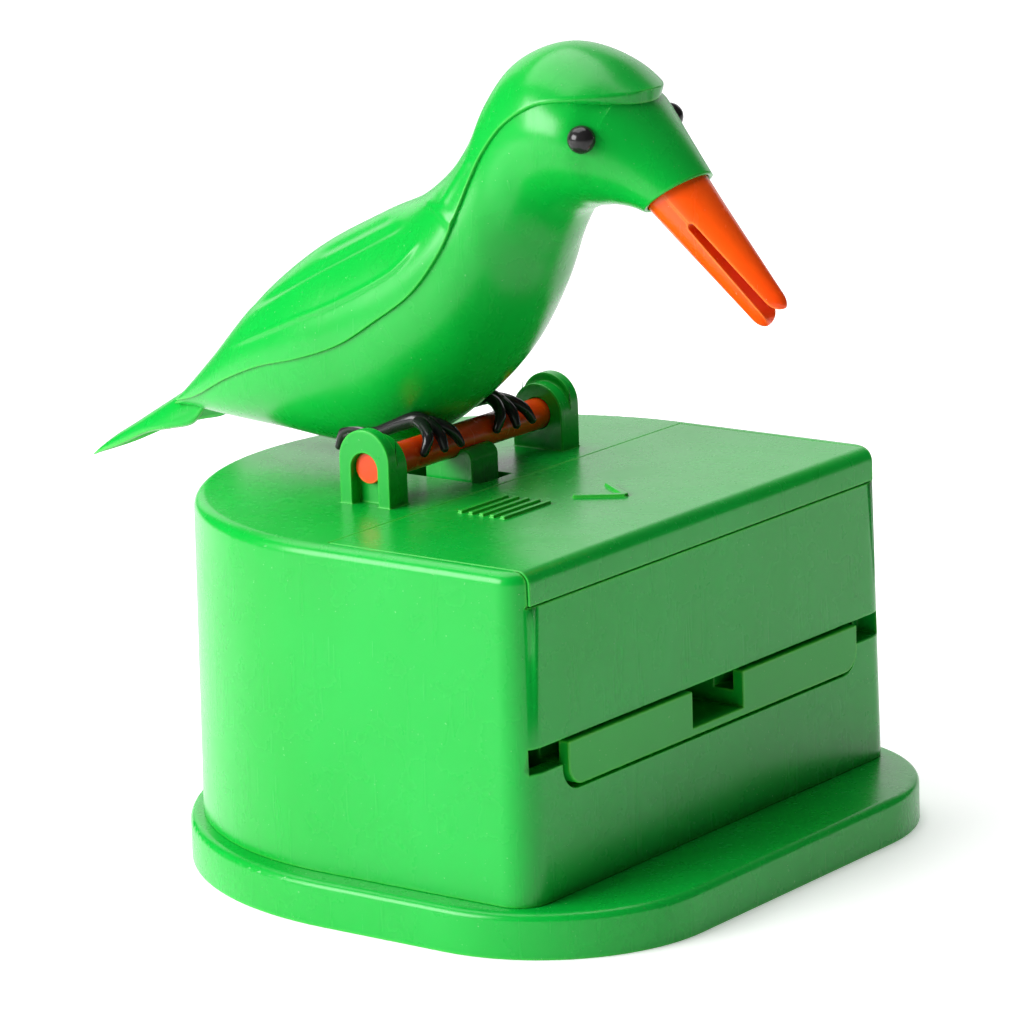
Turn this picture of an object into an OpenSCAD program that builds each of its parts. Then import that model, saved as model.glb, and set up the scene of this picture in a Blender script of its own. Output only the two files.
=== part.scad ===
// Press-down bird toothpick dispenser.
// +X is forward (the bird and the slotted wall face +X), +Z is up.
// The origin is the centre of the base plate's underside. Millimetres.

/* [Base plate] */
// Width of the base plate across the bird
base_w = 80; // [79:0.5:82]
// Length of the base plate, front to back
base_l = 78; // [77.5:0.5:80]
// Height of the base plate
base_h = 5.3; // [5:0.1:5.6]
// Radius of the base plate's front corners
base_corner_r = 20.5; // [14:0.5:22]

/* [Box] */
// Half width of the box at its foot
box_half_w = 36.9; // [36.8:0.1:37.3]
// Front face of the box at its foot, from the origin
box_front = 28; // [27.8:0.1:28.4]
// Back of the box at its foot, from the origin
box_back = 37.9; // [37:0.1:38]
// Height of the deck above the table
deck_z = 43.2; // [43:0.1:44]
// Radius of the box's upright front corners
box_corner_r = 3.8; // [3:0.2:5]
// Wall thickness
wall = 2; // [1.8:0.1:2.2]
// How far each wall leans inwards from foot to deck
wall_lean = 0.5; // [0.2:0.1:0.6]
// Radius that rounds the deck's outer edge
deck_edge_r = 1.5; // [1.2:0.1:1.6]

/* [Lid] */
// Half width of the lid, between the box's two cheeks
lid_half_w = 34.4; // [34.2:0.1:34.6]
// Rear seam of the lid
lid_rear = -0.3; // [-0.5:0.1:0]
// Depth of the lid's front lip below the deck
lid_lip = 4; // [3.6:0.1:4.4]

/* [Slot and tray] */
// Length of the narrow slot that the toothpick leaves through
slot_len = 70; // [69:0.5:70]
// Bottom of the narrow slot
slot_z = 20.4; // [20.2:0.1:20.6]
// Height of the narrow slot
slot_h = 2.8; // [2.7:0.1:3]
// Width of the tray
tray_w = 58; // [57:0.5:58]
// Underside of the tray
tray_z = 17.6; // [17.5:0.1:17.8]
// Width of the notch that the beak reaches into
notch_w = 10.2; // [9:0.2:11]
// Travel of the tray
tray_travel = 8; // [7.8:0.1:8.2]

/* [Perch] */
// Perch bar's place along X
bar_x = -7.4; // [-7.6:0.1:-7.2]
// Perch bar's height above the table
bar_z = 47.5; // [47.4:0.1:47.6]
// Perch bar's radius
bar_r = 1.85; // [1.8:0.05:1.9]
// Distance between the posts' outer faces
post_span = 37; // [36:0.5:38]
// Width of a post along X
post_w = 7.2; // [7:0.1:7.6]
// Height of a post's outer flange above the deck
post_h = 8.9; // [8.7:0.1:9.4]

/* [Bird] */
// Wall thickness of the two bird shells
shell_t = 1.2; // [1:0.1:1.4]
// Radius of an eye
eye_r = 1.9; // [1.7:0.1:2]
// Distance of each foot from the bird's middle
foot_y = 7.2; // [6.8:0.2:7.6]
// Angle that the bird nods through
nod = 57; // [50:1:57]

/* [Hidden] */

green = [0.10, 0.72, 0.24];
dark_green = [0.08, 0.60, 0.20];
orange = [0.96, 0.36, 0.04];
black = [0.05, 0.05, 0.06];
steel = [0.75, 0.76, 0.78];

over = 1;                                 // how far a cutter runs past a face
base_arc_x = base_w / 2 - base_l / 2;     // centre of the base plate's round back
box_arc_x = box_half_w - box_back;        // centre of the box's round back
base_front = base_l / 2;
base_edge_r = 1;                          // rounding of the base plate's top edge
floor_z = 2.4;                            // top of the base plate's sunk floor
box_in_w = box_half_w - wall - wall_lean; // inside half width, straight all the way up
box_in_front = box_front - wall - wall_lean;
ceiling_z = deck_z - wall;                // underside of the deck
lid_front = box_front - wall_lean;
lid_gap = 0.1;
lid_lip_z = deck_z - lid_lip;
lid_edge_r = 1.6;                         // rounding of the lid's front top edge
tray_top = slot_z + 1.9;
plate_top = slot_z + slot_h - 0.3;        // the tray's front plate nearly fills the slot's height
tray_back = 14.5;
plate_t = 1.5;
tray_front = box_front + 0.3;             // the tray's front plate stands a little proud
pocket_z = tray_z - 0.5;
notch_z = tray_z + 1;
notch_depth = 8.2;
trough_w = 2.6;
trough_z = slot_z + 0.1;
tail_w = 6.8;
tail_back = -17;

// crank, rocker and pins, in the plane y = 0
crank_len = 13;
pin_r = 1.2;
rocker_z = 27;
rocker_swing = 34;                        // degrees each side of upright
lower_len = tray_travel / 2 / sin(rocker_swing);
crank_pin_x = bar_x + crank_len * sin(nod / 2);
crank_pin_z = bar_z - crank_len * cos(nod / 2);
tray_pin_x = bar_x - lower_len * sin(rocker_swing);
tray_pin_z = rocker_z - lower_len * cos(rocker_swing);
crank_t = 5.2;
cheek_in = 3;                             // the rocker's two cheeks, from y = 3 to 4.4
cheek_out = 4.4;
ear_in = 4.8;                             // the base's two ears, from y = 4.8 to 6.8
ear_out = 6.8;
rocker_pin_r = 1.25;
running_gap = 0.05;

// spring between the tray's tail and the post on the base
spring_z = 20;
spring_r = 1.9;
spring_wire = 0.25;
spring_turns = 11;
spring_post_x = -31.4;
hook_x = tail_back + 0.8;

screw_spots = [[-21, -20], [-21, 20], [23, -22], [23, 22]];
screw_shank_r = 1.2;
screw_head_r = 2.4;
boss_r = 3;
front_boss_top = 15.5;

// Bird outline in the middle plane: upper point, lower point and half width, tail to collar
stations = [
    [[-48.0, 48.9], [-47.8, 47.5], 4.0],
    [[-41.0, 55.7], [-39.3, 47.0], 7.5],
    [[-34.0, 63.0], [-30.0, 46.4], 10.0],
    [[-25.5, 69.4], [-22.0, 45.8], 11.5],
    [[-16.0, 74.2], [-13.4, 46.8], 12.0],
    [[ -9.6, 77.0], [ -6.6, 50.8], 12.0],
    [[ -4.2, 81.2], [  0.0, 56.8], 11.5],
    [[ -1.0, 85.5], [  4.8, 63.9], 10.5],
    [[  1.2, 90.0], [  7.8, 70.5], 9.8],
    [[  4.6, 93.6], [ 10.4, 75.0], 10.0],
    [[  9.8, 95.4], [ 13.6, 76.8], 10.4],
    [[ 15.2, 94.2], [ 16.2, 77.3], 9.8],
    [[ 19.2, 91.0], [ 17.8, 77.4], 8.2],
    [[ 23.8, 86.2], [ 19.6, 77.2], 6.2],
    [[ 27.9, 81.6], [ 21.1, 76.8], 4.8]];
// Line where the back shell meets the breast shell, crest to tail
parting = [[26, 90.4], [18, 90.9], [13, 90.4], [10, 89.2], [6.8, 86.9], [4, 83.8], [2.3, 80.7],
           [0.8, 77], [-1.2, 72.2], [-5, 67.2], [-10.5, 63.3], [-16, 60], [-22.5, 57.7],
           [-29, 56], [-35.5, 53.5], [-43, 50], [-50, 48.2]];
ring_points = 28;
steps = 2;                                // rings between two stations
collar = [24.5, 79.2];                    // centre of the collar round the beak
beak_tilt = 45;                           // the beak's slope below level
collar_tilt = 10;                         // the collar's tilt against the beak
eye_at = [17.2, 8.3, 86];
tail_len = 21;
tail_tilt = 25;

// ---------- shared outlines ----------

// D-shaped plan: round back, straight sides, rounded front corners
module d_plan(half_w, front, corner_r, arc_x) {
    difference() {
        translate([arc_x, 0]) circle(r = half_w, $fn = 96);
        translate([arc_x, -half_w]) square(2 * half_w);
    }
    translate([arc_x, -half_w]) square([front - corner_r - arc_x, 2 * half_w]);
    translate([arc_x, -half_w + corner_r]) square([front - arc_x, 2 * (half_w - corner_r)]);
    for (side = [-1, 1])
        translate([front - corner_r, side * (half_w - corner_r)]) circle(r = corner_r, $fn = 48);
}

module d_slab(half_w, front, corner_r, arc_x, z0, z1) {
    translate([0, 0, z0]) linear_extrude(z1 - z0) d_plan(half_w, front, corner_r, arc_x);
}

// Section through a wall, from a middle line out to its foot at r: leaning in, with a rounded top edge
module wall_section(r, z0, z1, lean, edge_r) {
    top_r = r - lean;
    polygon([[0, z0], [r, z0], [top_r, z1 - edge_r], [top_r - edge_r, z1], [0, z1]]);
    translate([top_r - edge_r, z1 - edge_r]) circle(r = edge_r, $fn = 48);
}

// D-shaped block: turned back and corners, joined by straight stretches of the same section
module d_block(half_w, front, corner_r, arc_x, z0, z1, lean, edge_r) {
    translate([arc_x, 0, 0]) rotate([0, 0, 90]) rotate_extrude(angle = 180, $fn = 96)
        wall_section(half_w, z0, z1, lean, edge_r);
    translate([arc_x, 0, 0]) rotate([90, 0, 90]) linear_extrude(front - corner_r - arc_x) {
        wall_section(half_w, z0, z1, lean, edge_r);
        mirror([1, 0]) wall_section(half_w, z0, z1, lean, edge_r);
    }
    translate([0, half_w - corner_r, 0]) rotate([90, 0, 0]) linear_extrude(2 * (half_w - corner_r))
        wall_section(front, z0, z1, lean, edge_r);
    for (side = [-1, 1])
        translate([front - corner_r, side * (half_w - corner_r), 0]) rotate([0, 0, side > 0 ? 0 : -90])
            rotate_extrude(angle = 90, $fn = 64) wall_section(corner_r, z0, z1, lean, edge_r);
}

// A cylinder along Y, centred on y = 0
module y_rod(x, z, r, length, sides = 48) {
    translate([x, 0, z]) rotate([90, 0, 0]) cylinder(r = r, h = length, center = true, $fn = sides);
}

// An outline drawn in X and Z, given a thickness in Y from y0 to y1
module in_xz(y0, y1) {
    translate([0, y1, 0]) rotate([90, 0, 0]) linear_extrude(y1 - y0) children();
}

// A round-ended bar between two points of a drawing
module link_2d(a, b, r) {
    run = b - a;
    translate(a) circle(r = r, $fn = 48);
    translate(b) circle(r = r, $fn = 48);
    translate(a) rotate(atan2(run[1], run[0])) translate([0, -r]) square([norm(run), 2 * r]);
}

// ---------- box ----------

module base_plate() color(green) {
    difference() {
        d_block(base_w / 2, base_front, base_corner_r, base_arc_x, 0, base_h, 0, base_edge_r);
        difference() {
            d_slab(box_in_w - 0.3, box_in_front - 0.3, box_corner_r - 1, box_arc_x, floor_z, base_h + over);
            for (spot = screw_spots)
                translate([spot[0], spot[1], 0]) cylinder(r = boss_r, h = base_h, $fn = 48);
        }
        for (spot = screw_spots) translate([spot[0], spot[1], -over]) {
            cylinder(r = screw_shank_r + 0.2, h = base_h + 2 * over, $fn = 32);
            cylinder(r = screw_head_r + 0.4, h = 2 + over, $fn = 48);
        }
    }
    // ears that carry the rocker's pin
    difference() {
        for (side = [-1, 1])
            in_xz(side > 0 ? ear_in : -ear_out, side > 0 ? ear_out : -ear_in) {
                translate([bar_x - 3.5, floor_z]) square([7, rocker_z - floor_z]);
                translate([bar_x, rocker_z]) circle(r = 3.5, $fn = 48);
            }
        y_rod(bar_x, rocker_z, rocker_pin_r, 2 * ear_out + 2);
    }
    // post that holds the spring's rear hook
    difference() {
        in_xz(-1.5, 1.5) {
            translate([spring_post_x - 1.6, floor_z]) square([3.2, spring_z + 1 - floor_z]);
            translate([spring_post_x, spring_z + 1]) circle(r = 1.6, $fn = 32);
        }
        translate([spring_post_x, 0, spring_z]) cylinder(r = 0.6, h = 6, center = true, $fn = 24);
        translate([spring_post_x, -0.35, spring_z - 0.5]) cube([4, 0.7, 1]);
    }
}

// One post of the perch: an outer flange with an open slot and an inner boss with the bar's bore
module perch_post() {
    flange_out = post_span / 2;
    flange_in = flange_out - 1.6;
    boss_in = flange_out - 3.5;
    half = post_w / 2;
    slot_r = bar_r + 0.04;
    difference() {
        union() {
            in_xz(flange_in, flange_out) {
                translate([bar_x - half, deck_z - over]) square([post_w, post_h - half + over]);
                translate([bar_x, deck_z + post_h - half]) circle(r = half, $fn = 64);
            }
            in_xz(boss_in, flange_in) {
                translate([bar_x - half, deck_z - over]) square([post_w, bar_z - deck_z + over]);
                translate([bar_x, bar_z]) circle(r = half, $fn = 64);
            }
        }
        y_rod(bar_x, bar_z, slot_r, post_span + 2, 64);
        translate([bar_x - slot_r, flange_in, deck_z]) cube([2 * slot_r, 3, bar_z - deck_z]);
    }
}

module box_housing() color(green) {
    slot_in = box_in_front - over;
    difference() {
        d_block(box_half_w, box_front, box_corner_r, box_arc_x, base_h, deck_z, wall_lean, deck_edge_r);
        d_slab(box_in_w, box_in_front, box_corner_r - 1.2, box_arc_x, base_h - over, ceiling_z);
        // opening that the lid covers, and the rebate for the lid's lip
        translate([lid_rear, -lid_half_w, ceiling_z - over])
            cube([box_front, 2 * lid_half_w, wall + 2 * over]);
        translate([box_in_front - over, -lid_half_w, lid_lip_z])
            cube([box_front, 2 * lid_half_w, lid_lip + over]);
        // narrow slot, and the pocket for the tray's front plate
        translate([slot_in, -slot_len / 2, slot_z]) cube([wall + 3, slot_len, slot_h]);
        translate([slot_in, 0, 0]) rotate([90, 0, 90]) linear_extrude(wall + 3)
            tray_plate_2d(tray_w + 1, pocket_z, slot_z + 0.1, 2.8);
        // gap in the deck for the crank arm
        translate([bar_x - 8, -crank_t / 2 - 0.4, ceiling_z - over])
            cube([12.9, crank_t + 0.8, wall + 2 * over]);
    }
    // ledge that carries the lid's rear edge
    difference() {
        translate([lid_rear - 2, -lid_half_w + 1, ceiling_z - 1.6]) cube([4.4, 2 * lid_half_w - 2, 1.6]);
        translate([bar_x, -crank_t / 2 - 0.4, ceiling_z - 3]) cube([11, crank_t + 0.8, 4]);
    }
    for (turned = [0, 1]) mirror([0, turned, 0]) perch_post();
    // screw bosses
    for (spot = screw_spots) {
        top = spot[0] < 0 ? ceiling_z : front_boss_top;
        difference() {
            translate([spot[0], spot[1], base_h]) cylinder(r = boss_r, h = top - base_h, $fn = 48);
            translate([spot[0], spot[1], base_h - over])
                cylinder(r = screw_shank_r, h = 8 + over, $fn = 32);
        }
    }
}

// Raised marks on the lid: five grip ribs and an arrow head
module lid_marks() {
    rib_h = 0.35;
    for (i = [0 : 4])
        translate([4 + 1.5 * i, -16, deck_z]) cube([0.6, 9, rib_h]);
    for (side = [-1, 1]) translate([16, 0, deck_z]) rotate([0, 0, side * 145])
        translate([0, -0.4, 0]) cube([6, 0.8, rib_h]);
}

module front_lid() color(green) {
    half = lid_half_w - lid_gap;
    rear = lid_rear + lid_gap;
    in_xz(-half, half) {
        translate([rear, ceiling_z]) square([lid_front - rear - lid_edge_r, wall]);
        translate([rear, ceiling_z]) square([lid_front - rear, wall - lid_edge_r]);
        translate([lid_front - lid_edge_r, deck_z - lid_edge_r]) circle(r = lid_edge_r, $fn = 48);
        translate([box_in_front, lid_lip_z + lid_gap])
            square([lid_front - box_in_front, lid_lip - lid_edge_r - lid_gap]);
    }
    lid_marks();
    // ribs underneath that stiffen the lid
    for (side = [-1, 1]) translate([4, side * (half - 2.4) - 0.6, ceiling_z - 1.4]) cube([18, 1.2, 1.4]);
}

// ---------- toothpick store and tray ----------

// Outline of the tray's front plate, seen from the front: square top corners, round bottom ones
module tray_plate_2d(width, z0, z1, r) {
    translate([-width / 2, z0 + r]) square([width, z1 - z0 - r]);
    translate([-width / 2 + r, z0]) square([width - 2 * r, z1 - z0]);
    for (side = [-1, 1]) translate([side * (width / 2 - r), z0 + r]) circle(r = r, $fn = 48);
}

module toothpick_hopper() color(dark_green) {
    half = box_in_w - 0.3;
    side_t = 1;
    mouth_x = box_in_front - trough_w;
    top_z = 38.6;
    back_x = 3.6;
    foot_z = tray_top + 0.4;
    leg_in = tray_w / 2 + 0.3;
    wall_front = box_in_front - box_corner_r + 1.2;
    // sloping floor that feeds the trough, and its back wall
    in_xz(-half, half) polygon([
        [mouth_x, foot_z], [mouth_x, foot_z + 1.2], [back_x + 1.4, top_z - 3],
        [back_x + 1.4, top_z], [back_x, top_z], [back_x, top_z - 4], [mouth_x - 2.6, foot_z]]);
    // side walls, clear of the box's rounded corners
    for (side = [-1, 1])
        in_xz(side > 0 ? half - side_t : -half, side > 0 ? half : -half + side_t)
            polygon([[mouth_x, foot_z], [wall_front, foot_z], [wall_front, top_z],
                     [back_x, top_z], [back_x, top_z - 4], [mouth_x - 2.6, foot_z]]);
    // legs that stand on the base plate, with the rails that the tray slides on
    for (turned = [0, 1]) mirror([0, turned, 0]) {
        in_xz(leg_in, leg_in + 1.6)
            polygon([[4, floor_z], [20, floor_z], [20, foot_z + 1.2], [4, top_z - 3.4]]);
        in_xz(leg_in - 3, leg_in)
            polygon([[4, tray_z - 1.9], [20, tray_z - 1.9], [20, tray_z - 0.3], [4, tray_z - 0.3]]);
    }
}

module toothpick_tray() color(green) {
    half = tray_w / 2;
    trough_x = tray_front - plate_t - trough_w;
    difference() {
        union() {
            translate([tray_back, 0, 0]) rotate([90, 0, 90]) linear_extrude(tray_front - tray_back)
                tray_plate_2d(tray_w, tray_z, tray_top, 2.5);
            translate([tray_front - plate_t, 0, 0]) rotate([90, 0, 90]) linear_extrude(plate_t)
                tray_plate_2d(tray_w, tray_z, plate_top, 2.5);
            // tail that the rocker pushes
            translate([tail_back, -tail_w / 2, tray_z])
                cube([tray_back - tail_back, tail_w, tray_top - tray_z]);
        }
        // trough for one toothpick
        translate([trough_x, -half - over, trough_z]) cube([trough_w, tray_w + 2 * over, 3]);
        // notch for the beak
        translate([tray_front - notch_depth, -notch_w / 2, notch_z])
            cube([notch_depth + over, notch_w, 6]);
        // pocket underneath lightens the tray
        for (side = [-1, 1])
            translate([tray_back + 1.4, side * 17 - 10, tray_z - over]) cube([6.2, 20, over + 2.6]);
        // gap for the rocker's lower arm, with a slot each side for its pin
        translate([tray_pin_x - 3.7, -1.9, tray_z - over]) cube([7.4, 3.8, 8]);
        translate([tray_pin_x - pin_r - 0.45, -tail_w, tray_pin_z - pin_r - 1.75])
            cube([2 * pin_r + 0.9, 2 * tail_w, 8]);
        // hole for the spring's hook
        translate([hook_x, 0, spring_z]) cylinder(r = 0.5, h = 9, center = true, $fn = 24);
        translate([tail_back - over, -0.35, spring_z - 0.5]) cube([over + 0.8, 0.7, 1]);
    }
}

// ---------- crank, rocker and pins ----------

module perch_bar() color(orange) difference() {
    y_rod(bar_x, bar_z, bar_r, post_span - 1.6, 64);
    translate([bar_x, 0, bar_z - 3]) cylinder(r = 0.8, h = 2.5, $fn = 32);
}

module crank_arm() color(green) {
    block = 6.8;
    difference() {
        in_xz(-crank_t / 2, crank_t / 2) difference() {
            union() {
                translate([bar_x - block / 2, bar_z - 6]) square([block, 4]);
                translate([bar_x - block / 2 + 1.4, bar_z - 6]) square([block - 2.8, 5.4]);
                for (side = [-1, 1])
                    translate([bar_x + side * (block / 2 - 1.4), bar_z - 2]) circle(r = 1.4, $fn = 32);
                link_2d([bar_x, bar_z - 5.2], [crank_pin_x, crank_pin_z], 2.4);
            }
            translate([bar_x, bar_z]) circle(r = bar_r, $fn = 64);
            translate([crank_pin_x, crank_pin_z]) circle(r = pin_r, $fn = 48);
        }
        translate([bar_x, 0, bar_z - 8]) cylinder(r = 0.8, h = 8, $fn = 32);
        translate([bar_x, 0, bar_z - 9]) cylinder(r = 1.6, h = 3.9, $fn = 32);
    }
}

module crank_screw() color(steel) {
    translate([bar_x, 0, bar_z - 5.1]) cylinder(r = 0.8, h = 4.6, $fn = 32);
    translate([bar_x, 0, bar_z - 6.3]) cylinder(r = 1.5, h = 1.2, $fn = 32);
}

module crank_pin() color(steel) y_rod(crank_pin_x, crank_pin_z, pin_r, 2 * cheek_out);

module rocker_pin() color(steel) y_rod(bar_x, rocker_z, rocker_pin_r, 2 * ear_out);

module tray_pin() color(steel) y_rod(tray_pin_x, tray_pin_z, pin_r, tail_w);

module rocker_lever() color(dark_green) {
    slot_half = pin_r + 1.15;
    arm_half = slot_half + 1.5;
    upper_len = 11.5;
    slot_foot = 4.8;
    difference() {
        union() {
            // two cheeks that lean forward at rest, each with an open slot for the crank's pin
            for (side = [-1, 1])
                in_xz(side > 0 ? cheek_in : -cheek_out, side > 0 ? cheek_out : -cheek_in)
                    translate([bar_x, rocker_z]) rotate(-rocker_swing) difference() {
                        union() {
                            translate([-arm_half, 0]) square([2 * arm_half, upper_len]);
                            circle(r = arm_half, $fn = 48);
                        }
                        translate([-slot_half, slot_foot]) square([2 * slot_half, upper_len]);
                        translate([0, slot_foot]) circle(r = slot_half, $fn = 48);
                    }
            // hub, and the lower arm that pushes the tray
            y_rod(bar_x, rocker_z, 2.9, 2 * cheek_in + 0.4);
            in_xz(-1.4, 1.4) link_2d([bar_x, rocker_z], [tray_pin_x, tray_pin_z], 1.8);
        }
        y_rod(bar_x, rocker_z, rocker_pin_r + running_gap, 2 * ear_out);
        y_rod(tray_pin_x, tray_pin_z, pin_r, tail_w);
    }
}

// Closed tube of radius r swept along a list of points, with square-cut ends
function unit(v) = v / norm(v);
function tangent(path, i) = unit(path[min(i + 1, len(path) - 1)] - path[max(i - 1, 0)]);
function tube_points(path, r, sides) = [
    for (i = [0 : len(path) - 1])
        let (t = tangent(path, i), u = unit(cross(t, [0.03, 0.05, 1])), v = cross(t, u))
        for (k = [0 : sides - 1]) path[i] + r * (cos(360 * k / sides) * u + sin(360 * k / sides) * v)];
// Triangles that join each ring of n points to the next
function skin(rings, n) = [
    for (i = [0 : rings - 2]) for (k = [0 : n - 1])
        let (a = i * n + k, b = i * n + (k + 1) % n)
        for (face = [[a, a + n, b + n], [a, b + n, b]]) face];
module tube(path, r, sides) {
    last = (len(path) - 1) * sides;
    polyhedron(points = tube_points(path, r, sides), faces = concat(
        [[for (k = [0 : sides - 1]) k]],
        [[for (k = [sides - 1 : -1 : 0]) last + k]],
        skin(len(path), sides)));
}

module return_spring() color(steel) {
    x0 = spring_post_x + 3.4;
    x1 = tail_back - 1.4;
    per_turn = 12;
    path = concat(
        [[spring_post_x, 0, spring_z], [x0 - 1.2, 0, spring_z]],
        [for (i = [0 : spring_turns * per_turn])
            let (a = 360 * i / per_turn, f = i / (spring_turns * per_turn))
            [x0 + (x1 - x0) * f, spring_r * sin(a), spring_z + spring_r * cos(a)]],
        [[x1 + 1, 0, spring_z], [hook_x, 0, spring_z]]);
    tube(path, spring_wire, 6);
}

module base_screws() color(steel) for (spot = screw_spots) translate([spot[0], spot[1], 0]) {
    translate([0, 0, 0.4]) cylinder(r = screw_head_r, h = 1.6, $fn = 48);
    translate([0, 0, 2]) cylinder(r = screw_shank_r, h = 10, $fn = 32);
}

// ---------- bird ----------

function smooth(a, b, c, d, t) = 0.5 * (2 * b + (c - a) * t + (2 * a - 5 * b + 4 * c - d) * t * t
                                        + (3 * b - a - 3 * c + d) * t * t * t);
function station(i) = stations[max(0, min(len(stations) - 1, i))];
function at(i, part, t) = smooth(station(i - 1)[part], station(i)[part], station(i + 1)[part],
                                 station(i + 2)[part], t);
// One ring of the bird, drawn in by the inset
function bird_ring(i, t, inset) =
    let (up = at(i, 0, t), low = at(i, 1, t), w = at(i, 2, t) - inset,
         mid = (up + low) / 2, half = (up - low) / 2, h = half * (1 - inset / norm(half)))
    [for (k = [0 : ring_points - 1]) let (a = 360 * k / ring_points)
        [mid[0] + h[0] * cos(a), -w * sin(a), mid[1] + h[1] * cos(a)]];
module bird_solid(inset, first, last) {
    rings = concat([for (i = [first : last - 1]) for (s = [0 : steps - 1]) bird_ring(i, s / steps, inset)],
                   [bird_ring(last, 0, inset)]);
    n = ring_points;
    end = (len(rings) - 1) * n;
    polyhedron(points = [for (ring = rings) for (p = ring) p], faces = concat(
        [[for (k = [0 : n - 1]) k]],
        [[for (k = [n - 1 : -1 : 0]) end + k]],
        skin(len(rings), n)));
}

module bird_shell() {
    last = len(stations) - 1;
    difference() {
        bird_solid(0, 0, last);
        bird_solid(shell_t, 1, last - 1);
        // mouth of the collar
        translate([collar[0], 0, collar[1]]) rotate([0, 90 + beak_tilt, 0])
            cylinder(r = 2.9, h = 12, center = true, $fn = 48);
    }
}

module above_parting() in_xz(-20, 20) polygon(concat(parting, [[-60, 60], [-60, 110], [26, 110]]));

module tail() {
    root = [-46, 49.2];
    translate([root[0], 0, root[1]]) rotate([0, -tail_tilt, 0]) hull() {
        translate([0, 0, 0]) cube([1, 7, 1.6], center = true);
        translate([-tail_len * 0.55, 0, -0.2]) cube([1, 10.4, 1.2], center = true);
        translate([-tail_len, 0, -0.6]) cube([1, 8, 0.8], center = true);
    }
}

module bird_breast_shell() color(green) difference() {
    bird_shell();
    above_parting();
    for (side = [-1, 1]) eye_peg(side);
}

module bird_back_shell() color(green) {
    intersection() {
        bird_shell();
        above_parting();
    }
    difference() {
        tail();
        bird_solid(0, 0, 2);
    }
}

// An eye is a bead on a peg that fits a hole in the shell
module eye_peg(side) translate([eye_at[0], side * (eye_at[1] - 1), eye_at[2]])
    rotate([90, 0, 0]) cylinder(r = 1, h = 4, center = true, $fn = 32);
module eye(side) {
    difference() {
        translate([eye_at[0], side * eye_at[1], eye_at[2]]) sphere(r = eye_r, $fn = 32);
        bird_solid(0, 10, 13);
    }
    eye_peg(side);
}
module eye_left() color(black) eye(1);
module eye_right() color(black) eye(-1);

// Beak in its own frame: +Z runs out along the beak, -X is its upper side. Its root lies flat
// on the collar, which is tilted a little against the beak.
module jaw(side, root_r, tip_r) hull() {
    rotate([0, collar_tilt, 0]) translate([0.4 * side, 0, 0.3]) cylinder(r = root_r, h = 0.6, $fn = 32);
    translate([1.55 * side, 0, 16.6]) sphere(r = tip_r, $fn = 24);
}
module beak() color(orange)
    translate([collar[0], 0, collar[1]]) rotate([0, 90 + beak_tilt, 0]) {
        translate([0, 0, -4]) cylinder(r = 2.8, h = 5, $fn = 48);
        difference() {
            union() {
                jaw(-1, 3.7, 1.25);
                jaw(1, 3.6, 1.1);
            }
            translate([0, -5, 0]) rotate([-90, 0, 0]) linear_extrude(10)
                polygon([[-0.5, -5.5], [0.1, -5.5], [0.6, -19], [-0.6, -19]]);
        }
    }

// A foot: a leg along the belly that ends in a hind claw, and three toes that grip the bar
module foot(side) {
    y = side * foot_y;
    ankle = [bar_x - 0.6, y, bar_z + bar_r + 1];
    heel = [-14.2, y * 1.04, 48.4];
    claw = [-20, y * 1.04, 46.8];
    difference() {
        union() {
            toe(ankle, heel, 1.1, 0.9);
            toe(heel, claw, 0.9, 0.8);
            for (spread = [-1, 0, 1]) {
                knuckle = [bar_x + 1.7, y + 1.7 * spread, bar_z + 2.1];
                toe(ankle, knuckle, 1, 0.9);
                if (spread != 0) toe(knuckle, [bar_x + 2.7, y + 2.6 * spread, bar_z - 0.2], 0.9, 0.7);
            }
        }
        y_rod(bar_x, bar_z, bar_r, post_span, 64);
        bird_solid(0, 3, 6);
    }
}
module toe(a, b, ra, rb) hull() {
    translate(a) sphere(r = ra, $fn = 14);
    translate(b) sphere(r = rb, $fn = 14);
}
module foot_left() color(black) foot(1);
module foot_right() color(black) foot(-1);

base_plate();
box_housing();
front_lid();
toothpick_hopper();
toothpick_tray();
rocker_lever();
rocker_pin();
tray_pin();
crank_arm();
crank_pin();
crank_screw();
perch_bar();
return_spring();
base_screws();
bird_breast_shell();
bird_back_shell();
beak();
eye_left();
eye_right();
foot_left();
foot_right();
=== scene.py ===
import math

import bmesh
import bpy
import numpy as np
from mathutils import Matrix, Vector


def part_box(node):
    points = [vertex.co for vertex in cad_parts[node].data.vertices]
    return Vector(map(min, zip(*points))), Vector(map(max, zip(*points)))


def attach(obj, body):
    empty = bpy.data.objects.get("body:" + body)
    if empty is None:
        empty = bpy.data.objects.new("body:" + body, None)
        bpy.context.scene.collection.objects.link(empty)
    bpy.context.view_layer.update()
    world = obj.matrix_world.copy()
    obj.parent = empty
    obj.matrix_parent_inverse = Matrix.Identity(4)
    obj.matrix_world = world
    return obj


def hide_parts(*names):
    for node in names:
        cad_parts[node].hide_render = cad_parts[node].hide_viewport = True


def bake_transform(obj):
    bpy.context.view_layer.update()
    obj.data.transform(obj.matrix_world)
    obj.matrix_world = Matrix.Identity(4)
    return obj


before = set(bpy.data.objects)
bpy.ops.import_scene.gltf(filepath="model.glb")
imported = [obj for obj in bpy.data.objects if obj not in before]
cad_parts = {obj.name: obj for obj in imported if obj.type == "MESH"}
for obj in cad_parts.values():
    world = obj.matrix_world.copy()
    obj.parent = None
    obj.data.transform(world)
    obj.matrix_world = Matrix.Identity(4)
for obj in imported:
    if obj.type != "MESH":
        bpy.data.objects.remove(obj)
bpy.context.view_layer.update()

# ---------------------------------------------------------------- base plate
# The foot of the dispenser: a D-shaped tray moulded in green polypropylene, with a round top edge.
# The box stands in its sunk floor, and four screws from below hold the two together.

MM = 0.001


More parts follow.
